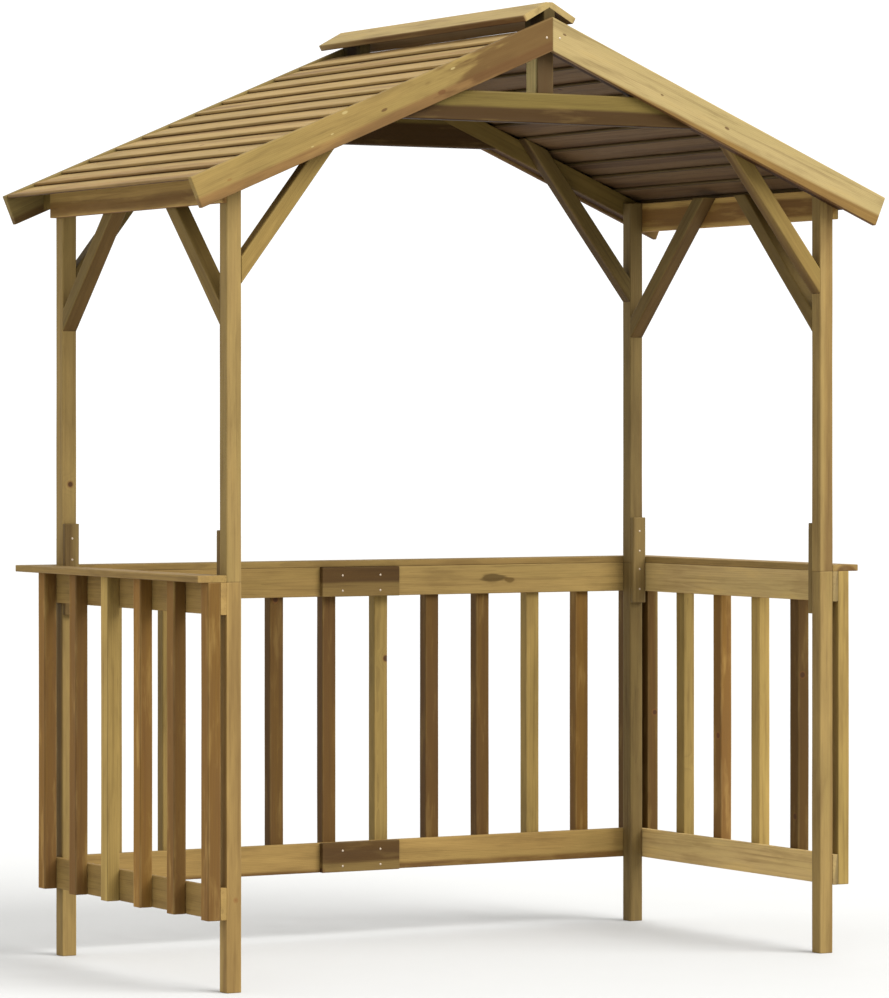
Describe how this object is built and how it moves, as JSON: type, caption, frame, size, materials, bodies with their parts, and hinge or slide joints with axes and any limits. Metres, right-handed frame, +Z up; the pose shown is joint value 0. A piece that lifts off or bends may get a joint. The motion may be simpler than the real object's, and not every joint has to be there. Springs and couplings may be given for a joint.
{
  "type": "timber barbecue shelter",
  "caption": "Open timber barbecue shelter: square posts, slatted sides and back with a shelf, braced corners and a lapped-board gable roof with a ridge cap.",
  "frame": {"origin": "on the ground, in the middle of the posts, which is within 8 mm of the middle of the whole shelter's plan", "axes": "+X along the length, to the right for a viewer in front; -Y out of the open front; +Z up"},
  "size_m": [1.924, 1.049, 2.3117],
  "materials": {
    "post_wood": "planed, pressure-treated softwood, matt",
    "board_wood": "planed, pressure-treated softwood, matt",
    "slat_wood": "planed, pressure-treated softwood, matt",
    "brace_wood": "planed, pressure-treated softwood, matt",
    "frame_wood": "planed, pressure-treated softwood, matt",
    "gable_wood": "planed, pressure-treated softwood, matt",
    "roof_wood": "planed, pressure-treated softwood, matt"
  },
  "bodies": {
    "root": {"post_lower_front_left": "post_wood", "post_lower_front_right": "post_wood", "post_lower_back_left": "post_wood", "post_lower_back_right": "post_wood", "post_upper_front_left": "post_wood", "post_upper_front_right": "post_wood", "post_upper_back_left": "post_wood", "post_upper_back_right": "post_wood", "post_cleats": "post_wood", "eave_beam_left": "board_wood", "eave_beam_right": "board_wood", "rail_bottom_left": "board_wood", "rail_top_left": "board_wood", "rail_bottom_right": "board_wood", "rail_top_right": "board_wood", "rail_bottom_back_left": "board_wood", "rail_bottom_back_right": "board_wood", "rail_top_back_left": "board_wood", "rail_top_back_right": "board_wood", "splice_plates": "board_wood", "slats_left": "slat_wood", "slats_right": "slat_wood", "slats_back": "slat_wood", "shelf_left": "board_wood", "shelf_right": "board_wood", "shelf_back": "board_wood", "side_braces_left": "brace_wood", "side_braces_right": "brace_wood", "cross_braces_front": "brace_wood", "cross_braces_back": "brace_wood", "tie_front": "frame_wood", "tie_back": "frame_wood", "king_post_front": "frame_wood", "king_post_back": "frame_wood", "battens_front": "frame_wood", "battens_back": "frame_wood", "gable_board_front_left": "gable_wood", "gable_board_front_right": "gable_wood", "gable_board_back_left": "gable_wood", "gable_board_back_right": "gable_wood", "roof_boards_left": "roof_wood", "roof_boards_right": "roof_wood", "ridge_cap_left": "gable_wood", "ridge_cap_right": "gable_wood", "ridge_blocks": "frame_wood"}
  },
  "joints": []
}
